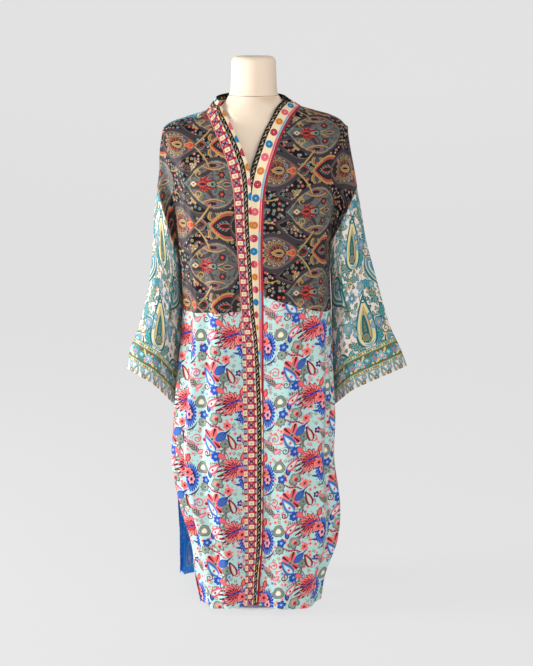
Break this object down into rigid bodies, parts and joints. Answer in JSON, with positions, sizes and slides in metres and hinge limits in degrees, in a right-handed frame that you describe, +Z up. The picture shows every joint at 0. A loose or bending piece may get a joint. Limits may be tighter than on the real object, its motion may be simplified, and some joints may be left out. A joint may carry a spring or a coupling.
{
  "type": "long kimono robe on dress form",
  "caption": "Long open-front kimono robe pieced from printed cloths, with wide drop sleeves and a long band collar, worn on a limbless dress form with a pole and round plate.",
  "frame": {"origin": "middle of the stand plate's underside, on the floor", "axes": "+Z up along the pole, the robe's open front faces -Y, the wearer's right sleeve is at -X"},
  "size_m": [0.6692, 0.2748, 1.3103],
  "materials": {
    "yoke_print": "silk satin, near-black paisley print",
    "floral_print": "silk satin, pale aqua floral print",
    "back_upper_print": "silk satin, turquoise print",
    "back_lower_print": "silk satin, bright blue print",
    "sleeve_print": "silk satin, pale leaf print with an olive border",
    "right_band_print": "silk satin, crimson border print",
    "left_band_print": "silk satin, cream border print with dots",
    "form_cloth": "matt cream jersey",
    "pole_metal": "brushed",
    "plate_paint": "satin pale grey paint"
  },
  "bodies": {
    "root": {"right_front_yoke": "yoke_print", "left_front_yoke": "yoke_print", "right_front_skirt": "floral_print", "left_front_skirt": "floral_print", "back_yoke": "back_upper_print", "back_skirt": "back_lower_print", "right_sleeve": "sleeve_print", "left_sleeve": "sleeve_print", "right_front_band": "right_band_print", "left_front_band": "left_band_print", "back_neck_band": "left_band_print", "form_torso": "form_cloth", "form_neck": "form_cloth", "stand_pole": "pole_metal", "stand_plate": "plate_paint"}
  },
  "joints": []
}
